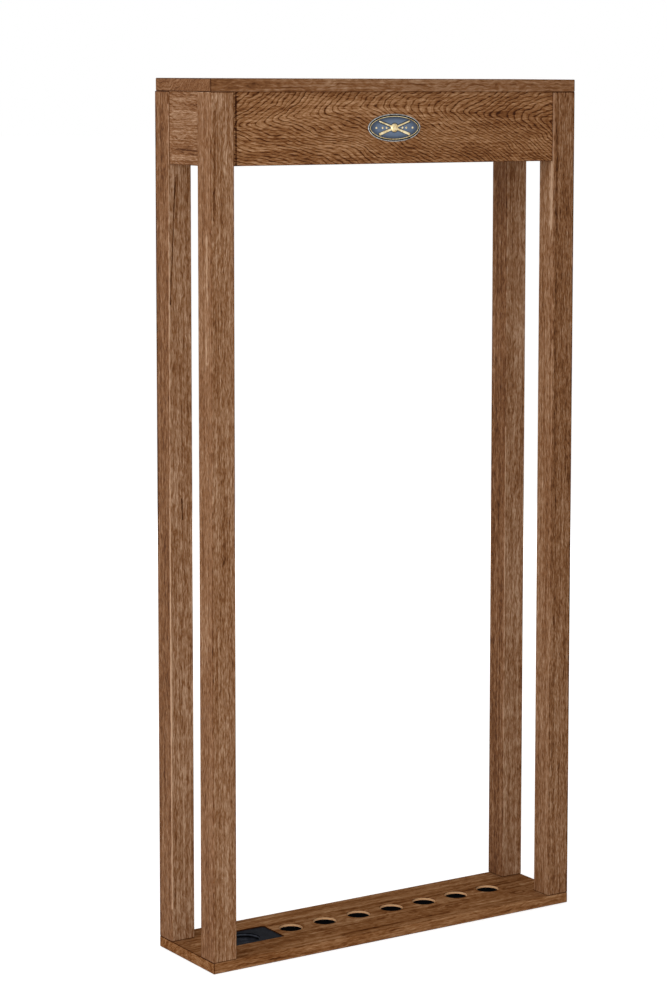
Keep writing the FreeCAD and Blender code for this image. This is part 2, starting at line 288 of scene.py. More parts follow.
# Growth rings: the distance from a heart that wanders, plus the log's taper, as the board cuts them.
# Gives back the pale to porous swing of each year, the same broken up by pores, and the fibres between.
def growthRings(add, alongGrain, marks, look, seed):
    x, y, z = add("SeparateXYZ", {0: alongGrain}).outputs
    heartAcross, heartUp = look["heart"]
    sway, rise = oakGrowth["sway"], oakGrowth["rise"]
    across = add("Math", {0: marks["bendAcross"], 1: sway, 2: -sway / 2 - heartAcross},
                 operation="MULTIPLY_ADD")
    across = add("Math", {0: y, 1: across}, operation="ADD")
    up = add("Math", {0: marks["bendUp"], 1: rise, 2: -rise / 2 - heartUp}, operation="MULTIPLY_ADD")
    up = add("Math", {0: z, 1: up}, operation="ADD")
    sag = add("Math", {0: x, 1: 1 / oakGrowth["bowReach"]}, operation="MULTIPLY")
    sag = add("Math", {0: sag, 1: sag}, operation="MULTIPLY")
    up = add("Math", {0: sag, 1: look["bow"], 2: up}, operation="MULTIPLY_ADD")
    fromHeart = add("VectorMath", {0: add("CombineXYZ", {0: across, 1: up})}, operation="LENGTH")
    fromEye = add("Math", {0: x, 1: look["eye"]}, operation="SUBTRACT")
    fromEye = add("VectorMath", {0: add("CombineXYZ", {0: fromEye, 1: look["blunt"]})}, operation="LENGTH")

    rings = add("Math", {0: fromEye.outputs["Value"], 1: look["taper"], 2: fromHeart.outputs["Value"]},
                operation="MULTIPLY_ADD")
    rings = add("Math", {0: up, 1: look["lean"], 2: rings}, operation="MULTIPLY_ADD")
    rings = add("Math", {0: marks["ripple"], 1: oakGrowth["ripple"], 2: rings}, operation="MULTIPLY_ADD")
    drift = oakGrowth["drift"] * look["ring"]
    rings = add("Math", {0: marks["growth"], 1: drift, 2: rings}, operation="MULTIPLY_ADD")
    years = add("Math", {0: rings, 1: 1 / look["ring"]}, operation="MULTIPLY")
    year = add("Math", {0: years}, operation="FRACT")
    earlyWood = add("ValToRGB", {0: year}, oakGrowth["year"])
    yearNumber = add("Math", {0: years}, operation="FLOOR")
    goodYear = add("TexWhiteNoise", {"W": yearNumber}, noise_dimensions="1D")
    goodYear = add("Math", {0: goodYear, 1: 0.5, 2: 0.5}, operation="MULTIPLY_ADD")
    brokenRings = add("Math", {0: marks["dash"], 1: 0.5, 2: 0.6}, operation="MULTIPLY_ADD")
    brokenRings = add("Math", {0: earlyWood, 1: brokenRings}, operation="MULTIPLY")
    brokenRings = add("Math", {0: brokenRings, 1: goodYear}, operation="MULTIPLY")

    fibreLong, fibreThick = oakGrowth["fibre"]
    fibre = add("CombineXYZ", {
        0: add("Math", {0: x, 1: 1 / fibreLong}, operation="MULTIPLY"),
        1: add("Math", {0: rings, 1: 1 / fibreThick}, operation="MULTIPLY"),
        2: seed,
    })
    fibre = add("TexNoise", {"Vector": fibre, "Scale": 1, "Detail": 2, "Roughness": 0.6})
    fibre = add("MapRange", {"Value": fibre, "From Min": 0.36, "From Max": 0.64})
    return earlyWood, brokenRings, fibre


def edgeBand(add, distance, look):   # a band of painted shade that ends its own width from an edge
    lastStop = look["stops"][-1][0]
    share = add("Math", {0: distance, 1: lastStop / (look["width"] * mm)}, operation="MULTIPLY")
    return add("ValToRGB", {0: share}, look["stops"])


# Where the board's faces, arrises, ends and bores are, from each point's distance to its outer faces.
def edgeMasks(add, place, name, look, rub):
    low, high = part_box(name)
    offCentre = add("VectorMath", {0: place, 1: (low + high) / 2}, operation="SUBTRACT")
    offCentre = add("VectorMath", {0: offCentre}, operation="ABSOLUTE")
    toFace = add("VectorMath", {0: (high - low) / 2, 1: offCentre}, operation="SUBTRACT")
    gaps = dict(zip("XYZ", add("SeparateXYZ", {0: toFace}).outputs))
    wholly, barely = oakFinish["faceSkin"]
    masks = {axis: add("MapRange", {"Value": gaps[axis], "From Min": wholly * mm, "From Max": barely * mm,
                                    "To Min": 1, "To Max": 0}) for axis in look["faces"]}
    toEnd = gaps.pop(look["grain"])
    toArris = add("Math", dict(enumerate(gaps.values())), operation="MAXIMUM")
    arris = add("MapRange", {
        "Value": toArris, "From Max": oakFinish["arrisWidth"] * mm, "To Min": 1, "To Max": 0})
    masks["arris"] = add("Math", {0: arris, 1: rub}, operation="MULTIPLY")
    masks["jointShade"] = edgeBand(add, toEnd, oakFinish["jointShade"])

    inside = add("Math", dict(enumerate(gaps.values())), operation="MINIMUM")
    inside = add("Math", {0: inside, 1: toEnd}, operation="MINIMUM")
    masks["rim"] = edgeBand(add, inside, oakFinish["rim"])
    begins, whole = oakFinish["cutFrom"]
    cut = add("MapRange", {"Value": inside, "From Min": begins * mm, "From Max": whole * mm})
    stainedTo = low.x + look["stainedTo"] * mm
    raw = add("Math", {0: add("SeparateXYZ", {0: place}), 1: stainedTo}, operation="GREATER_THAN")
    masks["rawCutAndLight"] = add("Math", {0: raw, 1: cut}, operation="MULTIPLY")
    masks["stainedCut"] = add("Math", {0: cut, 1: masks["rawCutAndLight"]}, operation="SUBTRACT")
    return masks


# A soft line from start to end, its sides frayed by the streaks of the grain.
def flawMask(add, place, start, end, halfWidth, streak):
    run = end - start
    fromStart = add("VectorMath", {0: place, 1: start}, operation="SUBTRACT")
    share = add("VectorMath", {0: fromStart, 1: run / run.length_squared}, operation="DOT_PRODUCT")
    share = add("MapRange", {"Value": share.outputs["Value"]})
    nearest = add("VectorMath", {0: run, "Scale": share}, operation="SCALE")
    away = add("VectorMath", {0: fromStart, 1: nearest}, operation="DISTANCE").outputs["Value"]
    away = add("Math", {0: streak, 1: halfWidth, 2: away}, operation="MULTIPLY_ADD")
    whole, gone = oakFinish["flawFade"]
    return add("MapRange", {
        "Value": away, "From Min": whole * halfWidth, "From Max": gone * halfWidth, "To Min": 1, "To Max": 0})


def oakMaterial(name, look):
    material, add = newMaterial("stainedOak_" + name)
    place = add("TexCoord").outputs["Object"]
    alongGrain = add("Mapping", {
        "Vector": place, "Rotation": grainTurns[look["grain"]], "Scale": (1000, 1000, 1000)})
    seed = look["seed"] * 37.0   # mm, so that no two boards share a stretch of noise
    marks = grainMarks(add, alongGrain, seed)
    earlyWood, brokenRings, marks["fibre"] = growthRings(add, alongGrain, marks, look, seed)
    masks = edgeMasks(add, place, name, look, marks["rub"])

    # depth of the stain, with painted light and shade added: 0 is the palest late wood, 1 the darkest pore
    strength = {"mottle": look["streaks"], "streak": look["streaks"], "line": 1,
                "dash": look["pores"], "pore": look["pores"], "fibre": 1}
    layers = [(marks[mark], oakDarkening[mark] * share) for mark, share in strength.items()]
    depth = look["depth"] - sum(darker / 2 for _, darker in layers)
    layers += [(brokenRings, oakDarkening["rings"] * look["figure"]), (masks["arris"], look["arris"])]
    layers += [(masks[mask], oakDarkening[mask]) for mask in ("jointShade", "rim", "stainedCut", "rawCutAndLight")]
    layers += [(masks[axis], darker) for axis, darker in look["faces"].items()]
    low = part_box(name)[0]
    for start, end, halfWidth, darker in look["flaws"]:
        start, end = low + Vector(start) * mm, low + Vector(end) * mm
        layers.append((flawMask(add, place, start, end, halfWidth * mm, marks["streak"]), darker))
    for layer, darker in layers:
        depth = add("Math", {0: layer, 1: darker, 2: depth}, operation="MULTIPLY_ADD")

    colour = add("ValToRGB", {0: depth}, oakFinish[look["stain"]])
    # raw wood on the walls of bores cut after staining, made paler still with painted light
    raw = add("Math", {0: masks["rawCutAndLight"], 1: oakFinish["rawAndLightShare"]}, operation="MULTIPLY")
    colour = add("MixRGB", {"Fac": raw, "Color1": colour, "Color2": linear(oakFinish["rawWoodAndLight"])})
    sunken = add("Math", {0: earlyWood, 1: 0.5, 2: marks["pore"]}, operation="MULTIPLY_ADD")
    relief = add("Bump", {"Strength": 0.5, "Distance": oakFinish["poreRelief"] * mm, "Height": sunken},
                 invert=True)
    roughness = add("Math", {0: depth, 1: oakFinish["poreRoughness"], 2: oakFinish["roughness"]},
                    operation="MULTIPLY_ADD")
    shader = add("BsdfPrincipled", {
        "Base Color": colour, "Roughness": roughness, "Specular IOR Level": look["specular"],
        "Normal": relief})
    add("OutputMaterial", {"Surface": shader})
    return material


for name, look in oakBoards.items():
    giveMaterial(name, oakMaterial(name, look))
print("oak boards stained:", len(oakBoards))


# Fluted beech dowels, turned and left bare: pale pinkish wood with short darker ray flecks.
beechLook = {
    "colours": [(0.3, "#a87c54"), (0.5, "#c39a70"), (0.7, "#d2ae86")],
    "flecksPerMm": 0.45,
    "tonesPerMm": 0.03,
}


def beechMaterial():
    material, add = newMaterial("bareBeech")
    place = placeInMm(add)
    fleck = add("TexNoise", {
        "Vector": place, "Scale": beechLook["flecksPerMm"], "Detail": 3, "Roughness": 0.6})
    tone = add("TexNoise", {"Vector": place, "Scale": beechLook["tonesPerMm"], "Detail": 2})
    tone = add("Math", {0: tone, 1: 0.4}, operation="MULTIPLY")
    mixed = add("Math", {0: fleck, 1: 0.6, 2: tone}, operation="MULTIPLY_ADD")
    colour = add("ValToRGB", {0: mixed}, beechLook["colours"])
    relief = add("Bump", {"Strength": 0.3, "Distance": 0.1 * mm, "Height": fleck})
    shader = add("BsdfPrincipled", {
        "Base Color": colour, "Roughness": 0.7, "Specular IOR Level": 0.3, "Normal": relief})
    add("OutputMaterial", {"Surface": shader})
    return material


# Pressed wool felt, dyed black: no gloss, a faint halo of loose fibres and lint that catches the light.
# A wool fibre is about 0.03 mm thick, so tufts of it are drawn 1 mm across, to show.
feltLook = {
    "colours": [(0.3, "#010102"), (0.52, "#040406"), (0.7, "#0c0c0e")],
    "tuftsPerMm": 1.1,
    "clumpsPerMm": 0.18,
    "halo": 0.004,
}


def feltMaterial():
    material, add = newMaterial("pressedBlackWoolFelt")
    place = placeInMm(add)
    tufts = add("TexNoise", {
        "Vector": place, "Scale": feltLook["tuftsPerMm"], "Detail": 5, "Roughness": 0.7, "Distortion": 1.5})
    clumps = add("TexNoise", {"Vector": place, "Scale": feltLook["clumpsPerMm"], "Detail": 2})
    clumps = add("Math", {0: clumps, 1: 0.3}, operation="MULTIPLY")
    mixed = add("Math", {0: tufts, 1: 0.7, 2: clumps}, operation="MULTIPLY_ADD")
    colour = add("ValToRGB", {0: mixed}, feltLook["colours"])
    relief = add("Bump", {"Strength": 0.7, "Distance": 0.3 * mm, "Height": tufts})
    shader = add("BsdfPrincipled", {
        "Base Color": colour, "Roughness": 0.95, "Specular IOR Level": 0.0, "Normal": relief,
        "Sheen Weight": feltLook["halo"], "Sheen Roughness": 0.6})
    add("OutputMaterial", {"Surface": shader})
    return material


# Metals: colours are in the hollows, on the body and on the high spots, roughness is where polished and
# where dull, and blotch and pit are the sizes of the clouding and of the tiny pits, in mm.
metals = {
    # antique pewter, cast and tumbled: a soft grey shine with dull blotches and tiny pits
    "castPewter": {
        "colours": ("#6d6f72", "#a3a5a6", "#c9cac8"), "roughness": (0.28, 0.5), "blotch": 4, "pit": 0.5},
    # the sunken line round the badge, left with its black patina
    "blackenedPewter": {
        "colours": ("#0e0f11", "#1b1c1f", "#34363a"), "roughness": (0.45, 0.7), "blotch": 4, "pit": 0.5},
    # pale brass under clear lacquer: creamy highlights, browner where polish collected
    "lacqueredPaleBrass": {
        "colours": ("#a88a58", "#dcc797", "#f0e2bd"), "roughness": (0.22, 0.42), "blotch": 5, "pit": 0.6},
    # screws: zinc plate, bright blue-grey with a faint crystal mottle
    "zincPlatedSteel": {
        "colours": ("#8d9196", "#b3b6b8", "#cfd1cf"), "roughness": (0.25, 0.45), "blotch": 1.5, "pit": 0.4},
    # nails behind the badge: drawn brass wire, slightly tarnished
    "drawnBrass": {
        "colours": ("#7d5f2c", "#b4924f", "#d3b777"), "roughness": (0.25, 0.45), "blotch": 2, "pit": 0.4},
}


def metalMaterial(name):
    look = metals[name]
    material, add = newMaterial(name)
    place = placeInMm(add)
    blotch = add("TexNoise", {"Vector": place, "Scale": 1 / look["blotch"], "Detail": 4, "Roughness": 0.6})
    pits = add("TexVoronoi", {"Vector": place, "Scale": 0.5 / look["pit"]}, feature="F1")
    colour = add("ValToRGB", {0: blotch}, list(zip((0.34, 0.5, 0.68), look["colours"])))
    polished, dull = look["roughness"]
    roughness = add("MapRange", {
        "Value": blotch, "From Min": 0.3, "From Max": 0.7, "To Min": dull, "To Max": polished})
    relief = add("Bump", {"Strength": 0.12, "Distance": 0.05 * mm, "Height": pits})
    shader = add("BsdfPrincipled", {
        "Base Color": colour, "Metallic": 1.0, "Roughness": roughness, "Normal": relief})
    add("OutputMaterial", {"Surface": shader})
    return material


felt = feltMaterial()
beech = beechMaterial()
metalMaterials = {name: metalMaterial(name) for name in metals}
for node in ("header_dowels", "rear_rail_dowels", "apron_dowels", "cap_dowels"):
    giveMaterial(node, beech)
for node in ("base_screws", "cue_rail_screws", "cap_screws"):
    giveMaterial(node, metalMaterials["zincPlatedSteel"])
giveMaterial("badge_pins", metalMaterials["drawnBrass"])
print("fastenings finished")

sharpFrom = math.radians(38)   # edges that turn further than this stay crisp


# Closes a piece off: doubles merged, faces outwards, smooth but for its sharp edges, riding on the rack.
def finishPiece(name, sheet, materials, slot, *replaced):
    bmesh.ops.remove_doubles(sheet, verts=sheet.verts, dist=mergeWithin)
    bmesh.ops.recalc_face_normals(sheet, faces=sheet.faces)
    mesh = bpy.data.meshes.new(name)
    sheet.to_mesh(mesh)
    sheet.free()
    for material in materials:
        mesh.materials.append(material)
    mesh.shade_smooth()
    mesh.set_sharp_from_angle(angle=sharpFrom)
    piece = bpy.data.objects.new(name, mesh)
    bpy.context.scene.collection.objects.link(piece)
    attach(piece, "root")
    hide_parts(*replaced)


# Turns a half profile of (out, along) about an axis through centre.
def turnProfile(sheet, profile, centre, axis, out, steps):
    points = [sheet.verts.new(centre + out * away + axis * along) for away, along in profile]
    edges = [sheet.edges.new(pair) for pair in zip(points, points[1:])]
    bmesh.ops.spin(sheet, geom=points + edges, cent=centre, axis=axis, angle=math.tau, steps=steps,
                   use_merge=True)


def roughen(sheet, reach, grain):   # pushes each point a little, the same way every run
    noise.seed_set(1)   # unseeded, the noise would start from the clock
    for vert in sheet.verts:
        vert.co += noise.noise_vector(vert.co / grain) * reach


def isEdge(part):
    return isinstance(part, bmesh.types.BMEdge)


def creases(sheet, atLeast):   # the edges that turn by more than this many degrees
    return [e for e in sheet.edges if e.is_manifold and e.calc_face_angle() > math.radians(atLeast)]


# The felt discs in the cue wells: punched from sheet, with a soft edge and a top that swells slightly.
feltDisc = {
    "count": 7,
    "soften": 0.5 * mm,
    "swell": 0.25 * mm,
    "swellAt": (0.88, 0.75, 0.6, 0.45, 0.3, 0.15, 0),   # shares of the radius
    "foot": (0.1 * mm, 0.2 * mm),   # how far its lower edge is eased, in and up
    "fuzz": 0.06 * mm,
    "fuzzGrain": 1.5 * mm,
    "steps": 56,
}


def makeWellFelts():
    low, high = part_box("well_felts")
    radius = (high.y - low.y) / 2
    thick = high.z - low.z
    soft, swell = feltDisc["soften"], feltDisc["swell"]
    footIn, footUp = feltDisc["foot"]
    pitch = (high.x - low.x - 2 * radius) / (feltDisc["count"] - 1)
    profile = [(0, 0), (radius * 0.5, 0), (radius - footIn, 0), (radius, footUp)]
    profile += [(radius, thick - soft - swell), (radius - soft * 0.3, thick - soft * 0.4 - swell)]
    profile += [(radius - soft, thick - swell)]
    profile += [(radius * share, thick - swell * share ** 2) for share in feltDisc["swellAt"]]
    sheet = bmesh.new()
    for index in range(feltDisc["count"]):
        centre = Vector((low.x + radius + index * pitch, (low.y + high.y) / 2, low.z))
        turnProfile(sheet, profile, centre, Vector((0, 0, 1)), Vector((1, 0, 0)), feltDisc["steps"])
    bmesh.ops.remove_doubles(sheet, verts=sheet.verts, dist=mergeWithin)
    roughen(sheet, feltDisc["fuzz"], feltDisc["fuzzGrain"])
    finishPiece("wellFelts", sheet, [felt], "black_felt", "well_felts")


# The felt strips glued round the notches: the CAD strips with their edges softened.
notchFelt = {"cornerFrom": 40, "soften": 0.45 * mm, "fuzz": 0.05 * mm, "fuzzGrain": 2 * mm}


def makeNotchFelt(name, node):
    sheet = bmesh.new()
    sheet.from_mesh(nodes[node].data)
    bmesh.ops.remove_doubles(sheet, verts=sheet.verts, dist=mergeWithin)
    bmesh.ops.dissolve_limit(sheet, angle_limit=math.radians(1), verts=sheet.verts, edges=sheet.edges)
    corners = creases(sheet, notchFelt["cornerFrom"])
    bmesh.ops.bevel(sheet, geom=corners, offset=notchFelt["soften"], segments=3, profile=0.5,
                    affect="EDGES", material=-1, clamp_overlap=True)
    roughen(sheet, notchFelt["fuzz"], notchFelt["fuzzGrain"])
    finishPiece(name, sheet, [felt], "black_felt", node)


# The bridge pad: a moulded slab with rounded corners and one shallow round seat for the bridge stick.
padShape = {
    "corner": 3.75 * mm,
    "seatRadius": 28 * mm,
    "seatDepth": 8 * mm,
    "steps": 96,
    "round": 0.8 * mm,       # on every edge that turns by more than roundFrom degrees
    "roundFrom": 50,
}

# Moulded synthetic rubber, bluish black: a satin skin with a fine diamond grip pattern cut in the mould,
# soft grey scuffs where bridge heads have stood, a painted highlight band round the wall of the seat with
# a painted shadow line above and below it, and painted light on the floor of the seat.
rubberLook = {
    "colours": [(0.2, "#030304"), (0.36, "#17181c"), (0.52, "#25272d"), (0.8, "#565a63")],
    "gripPitch": 3.0,        # mm between ridges
    "gripRelief": 0.35 * mm,
    "scuffsPerMm": 0.09,
    # painted light and shade from the top of the seat to its floor
    "seatShading": [(0.0, 0.3), (0.02, 0.3), (0.08, 0.0), (0.18, 0.1), (0.3, 0.7), (0.55, 0.6), (0.7, 0.05),
             (0.97, 0.0), (1.0, 0.45)],
}


def rubberMaterial(top):
    material, add = newMaterial("mouldedBlackRubber")
    objectPlace = add("TexCoord").outputs["Object"]
    place = add("Mapping", {
        "Vector": objectPlace, "Rotation": (0, 0, math.pi / 4), "Scale": (1000, 1000, 1000)})
    waveScale = math.tau / 20 / rubberLook["gripPitch"]   # at a scale of 1 it repeats every tau / 20
    ridges = [add("TexWave", {"Vector": place, "Scale": waveScale, "Distortion": 0}, bands_direction=way,
                  wave_profile="SIN").outputs["Fac"] for way in "XY"]
    grip = add("Math", dict(enumerate(ridges)), operation="MULTIPLY")
    scuff = add("TexNoise", {
        "Vector": place, "Scale": rubberLook["scuffsPerMm"], "Detail": 4, "Roughness": 0.65})
    below = add("MapRange", {
        "Value": add("SeparateXYZ", {0: objectPlace}).outputs["Z"],
        "From Min": top, "From Max": top - padShape["seatDepth"]})
    # painted highlight and shadow lines down the wall of the seat, and painted light on its floor
    seatShading = add("ValToRGB", {0: below}, rubberLook["seatShading"])
    scuffsAndShading = add("Math", {0: scuff, 1: 0.5}, operation="MULTIPLY")
    scuffsAndShading = add("Math", {0: seatShading, 1: 0.6, 2: scuffsAndShading}, operation="MULTIPLY_ADD")
    colour = add("ValToRGB", {0: scuffsAndShading}, rubberLook["colours"])
    roughness = add("MapRange", {"Value": scuff, "To Min": 0.55, "To Max": 0.8})
    relief = add("Bump", {"Strength": 0.6, "Distance": rubberLook["gripRelief"], "Height": grip})
    shader = add("BsdfPrincipled", {
        "Base Color": colour, "Roughness": roughness, "Specular IOR Level": 0.004, "Normal": relief})
    add("OutputMaterial", {"Surface": shader})
    return material


def makeBridgePad():
    low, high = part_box("bridge_pad")
    middle = (low + high) / 2
    toTop = Matrix.Translation((middle.x, middle.y, high.z))
    sheet = bmesh.new()
    bmesh.ops.create_circle(sheet, segments=padShape["steps"], radius=padShape["seatRadius"], matrix=toTop)
    seatEdges = list(sheet.edges)
    size = Matrix.Diagonal((high.x - low.x, high.y - low.y, 1, 1))
    slab = bmesh.ops.create_grid(sheet, x_segments=1, y_segments=1, size=0.5, matrix=toTop @ size)
    bmesh.ops.bevel(sheet, geom=slab["verts"], offset=padShape["corner"], segments=8, profile=0.5,
                    affect="VERTICES", material=-1)
    bmesh.ops.delete(sheet, geom=list(sheet.faces), context="FACES_ONLY")
    slabEdges = [e for e in sheet.edges if e not in seatEdges]
    bmesh.ops.bridge_loops(sheet, edges=seatEdges + slabEdges)
    for edges, drop in ((seatEdges, padShape["seatDepth"]), (slabEdges, high.z - low.z)):
        pulled = bmesh.ops.extrude_edge_only(sheet, edges=edges)["geom"]
        lowered = [v for v in pulled if isinstance(v, bmesh.types.BMVert)]
        bmesh.ops.translate(sheet, vec=(0, 0, -drop), verts=lowered)
        bmesh.ops.contextual_create(sheet, geom=[e for e in pulled if isEdge(e) and e.is_boundary])
    bmesh.ops.recalc_face_normals(sheet, faces=sheet.faces)
    corners = creases(sheet, padShape["roundFrom"])
    bmesh.ops.bevel(sheet, geom=corners, offset=padShape["round"], segments=3, profile=0.5,
                    affect="EDGES", material=-1, clamp_overlap=True)
    finishPiece("bridgePad", sheet, [rubberMaterial(high.z)], "black_rubber", "bridge_pad")


makeWellFelts()
makeNotchFelt("notchLiners", "notch_liners")
makeNotchFelt("bridgeNotchLiner", "bridge_notch_liner")
makeBridgePad()
print("felts and pad made")


# The badge, in mm: an oval cast plate with a rolled rim and an inner bead, a tray of enamel, and a motif
# of two crossed cues, a ball and six studs. A step of the plate is how far in, how far up, and which
# metal it shows. The cue, the ball and the stud are half profiles, out from the axis and along it.
badgeShape = {
    "steps": 112,
    "edge": 1.25,
    "metals": ["castPewter", "blackenedPewter", "lacqueredPaleBrass"],
    "plate": [
        (0.3, 0.45, 0), (0.5, 0.22, 0), (0.4, 0.0, 0), (0.3, -0.2, 0), (0.25, -0.72, 1), (1.9, 0.0, 1),
        (0.2, 0.5, 1), (0.45, 0.15, 2), (0.45, -0.1, 2), (0.2, -0.45, 1), (0.4, 0.0, 1)],
    "enamelEdge": 0.2,
    "enamel": [(0.3, 0.08), (0.6, 0.14), (1.1, 0.16), (1.4, 0.12)],
    "cue": [
        (0, -34), (1.8, -33.9), (2.3, -33.3), (2.4, -31), (2.05, -30.7), (2.05, -30.2), (2.4, -29.8),
        (2.25, -20), (1.85, -19.7), (1.85, -19.2), (2.15, -18.8), (1.1, 29), (1.3, 29.4), (1.3, 31.6),
        (1.0, 31.9), (1.0, 33.2), (0.75, 33.9), (0, 34)],
    "cueLean": 20,           # degrees
    "cueFlatness": 0.5,      # its height as a share of its width
    "cueSunk": 0.35,         # how far its cut back lies in the enamel
    "cueSteps": 20,
    "ball": [(0, 2.9), (2.4, 2.75), (4.4, 2.3), (6.0, 1.65), (7.1, 0.8), (7.6, -0.2), (0, -0.2)],
    "ballSunk": 0.1,
    "ballSteps": 40,
    "stud": [(0, 0.85), (1.1, 0.7), (1.8, 0.3), (1.95, -0.2), (0, -0.2)],
    "studsOut": (16.5, 24.5, 37.5),
    "studSunk": 0.25,
    "studSteps": 16,
}

# Vitreous enamel fired in the badge's tray: slate blue glass, darker towards the rim, with a painted black
# shadow round the raised motif, a smooth wet gloss and a faint orange peel. Shadow bands are in mm,
# solid to the first distance and gone at the second.
enamelLook = {
    "colours": [(0.2, "#65758b"), (0.68, "#56667d"), (0.82, "#3a485d"), (0.94, "#1b222d")],
    # painted shadow of the raised motif on the glass: its colour, its strength and its bands
    "motifShadowColour": "#12141a",
    "motifShadowStrength": 0.9,
    "ballShadow": (8.2, 9.6),      # from the ball's middle
    "cueShadow": (2.4, 3.7),       # from each cue's middle line
    "cueShadowEnd": (34.5, 35.8),  # along each cue from its middle
    "rimShade": 0.88,            # how much darker the glass grows towards the rim
    "speckleShade": 0.08,
    "specklesPerMetre": 900,
    "peelPerMetre": 250,
}


def fadeOut(add, distance, band):   # 1 up to the band's first distance in mm, 0 past its second
    return add("MapRange", {
        "Value": distance, "From Min": band[0] * mm, "From Max": band[1] * mm, "To Min": 1, "To Max": 0})


def enamelMaterial(centre, halfLength, halfHeight):
    material, add = newMaterial("slateBlueEnamel")
    place = add("TexCoord").outputs["Object"]
    oval = add("Mapping", {
        "Vector": place, "Scale": (1 / halfLength, 0, 1 / halfHeight),
        "Location": (-centre.x / halfLength, 0, -centre.z / halfHeight)})
    fromMiddle = add("VectorMath", {0: oval}, operation="LENGTH").outputs["Value"]
    speckle = add("TexNoise", {"Vector": place, "Scale": enamelLook["specklesPerMetre"], "Detail": 3})
    shade = add("Math", {0: fromMiddle, 1: enamelLook["rimShade"]}, operation="MULTIPLY")
    shade = add("Math", {0: speckle, 1: enamelLook["speckleShade"], 2: shade}, operation="MULTIPLY_ADD")
    colour = add("ValToRGB", {0: shade}, enamelLook["colours"])

    # a painted black shadow round the ball and along the two cues
    offset = add("VectorMath", {0: place, 1: centre}, operation="SUBTRACT")
    fromBall = add("VectorMath", {0: offset}, operation="LENGTH").outputs["Value"]
    motifShadow = fadeOut(add, fromBall, enamelLook["ballShadow"])
    for side in (-1, 1):
        lean = math.radians(side * badgeShape["cueLean"])
        ways = {
            "cueShadow": (-math.sin(lean), 0, math.cos(lean)),
            "cueShadowEnd": (math.cos(lean), 0, math.sin(lean)),
        }
        bands = []
        for band, way in ways.items():
            reach = add("VectorMath", {0: offset, 1: way}, operation="DOT_PRODUCT").outputs["Value"]
            reach = add("Math", {0: reach}, operation="ABSOLUTE")
            bands.append(fadeOut(add, reach, enamelLook[band]))
        cueShadow = add("Math", dict(enumerate(bands)), operation="MULTIPLY")
        motifShadow = add("Math", {0: motifShadow, 1: cueShadow}, operation="MAXIMUM")
    motifShadow = add("Math", {0: motifShadow, 1: enamelLook["motifShadowStrength"]}, operation="MULTIPLY")
    colour = add("MixRGB", {"Fac": motifShadow, "Color1": colour, "Color2": linear(enamelLook["motifShadowColour"])})

    peel = add("TexNoise", {"Vector": place, "Scale": enamelLook["peelPerMetre"], "Detail": 1})
    relief = add("Bump", {"Strength": 0.15, "Distance": 0.05 * mm, "Height": peel})
    shader = add("BsdfPrincipled", {
        "Base Color": colour, "Roughness": 0.3, "Coat Weight": 0.3, "Coat Roughness": 0.1, "Normal": relief,
        "Specular IOR Level": 0.3})
    add("OutputMaterial", {"Surface": shader})
    return material


def ovalSlab(sheet, halfLength, halfHeight, foot, thick):   # gives back its top face
    size = Matrix.Translation((0, 0, foot)) @ Matrix.Diagonal((halfLength, halfHeight, 1, 1))
    bmesh.ops.create_circle(sheet, cap_ends=True, segments=badgeShape["steps"], radius=1, matrix=size)
    lifted = bmesh.ops.extrude_face_region(sheet, geom=list(sheet.faces))["geom"]
    top = next(f for f in lifted if isinstance(f, bmesh.types.BMFace))
    bmesh.ops.translate(sheet, vec=(0, 0, thick), verts=top.verts)
    return top


def stepIn(sheet, top, inward, rise):   # sets the top face in and up, and gives back the strip round it
    strip = bmesh.ops.inset_region(sheet, faces=[top], thickness=inward * mm, use_even_offset=True)["faces"]
    bmesh.ops.translate(sheet, vec=(0, 0, rise * mm), verts=top.verts)
    return strip


def makeBadgePlate(stand, halfLength, halfHeight):   # gives back the height of its tray
    sheet = bmesh.new()
    top = ovalSlab(sheet, halfLength, halfHeight, 0, badgeShape["edge"] * mm)
    for inward, rise, metal in badgeShape["plate"]:
        for face in stepIn(sheet, top, inward, rise):
            face.material_index = metal
    tray = top.verts[0].co.z
    bmesh.ops.transform(sheet, matrix=stand, verts=sheet.verts)
    shown = [metalMaterials[metal] for metal in badgeShape["metals"]]
    finishPiece("badgePlate", sheet, shown, "pewter", "badge_plate")
    return tray


def makeBadgeEnamel(stand, halfLength, halfHeight, tray):   # gives back the height of its top
    sheet = bmesh.new()
    top = ovalSlab(sheet, halfLength, halfHeight, tray, badgeShape["enamelEdge"] * mm)
    for inward, rise in badgeShape["enamel"]:
        stepIn(sheet, top, inward, rise)
    glass = top.verts[0].co.z
    bmesh.ops.transform(sheet, matrix=stand, verts=sheet.verts)
    low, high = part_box("badge_plate")
    enamel = enamelMaterial((low + high) / 2, halfLength, halfHeight)
    finishPiece("badgeEnamel", sheet, [enamel], "slate_enamel", "badge_enamel")
    return glass


def inMetres(profile):
    return [(out * mm, along * mm) for out, along in profile]


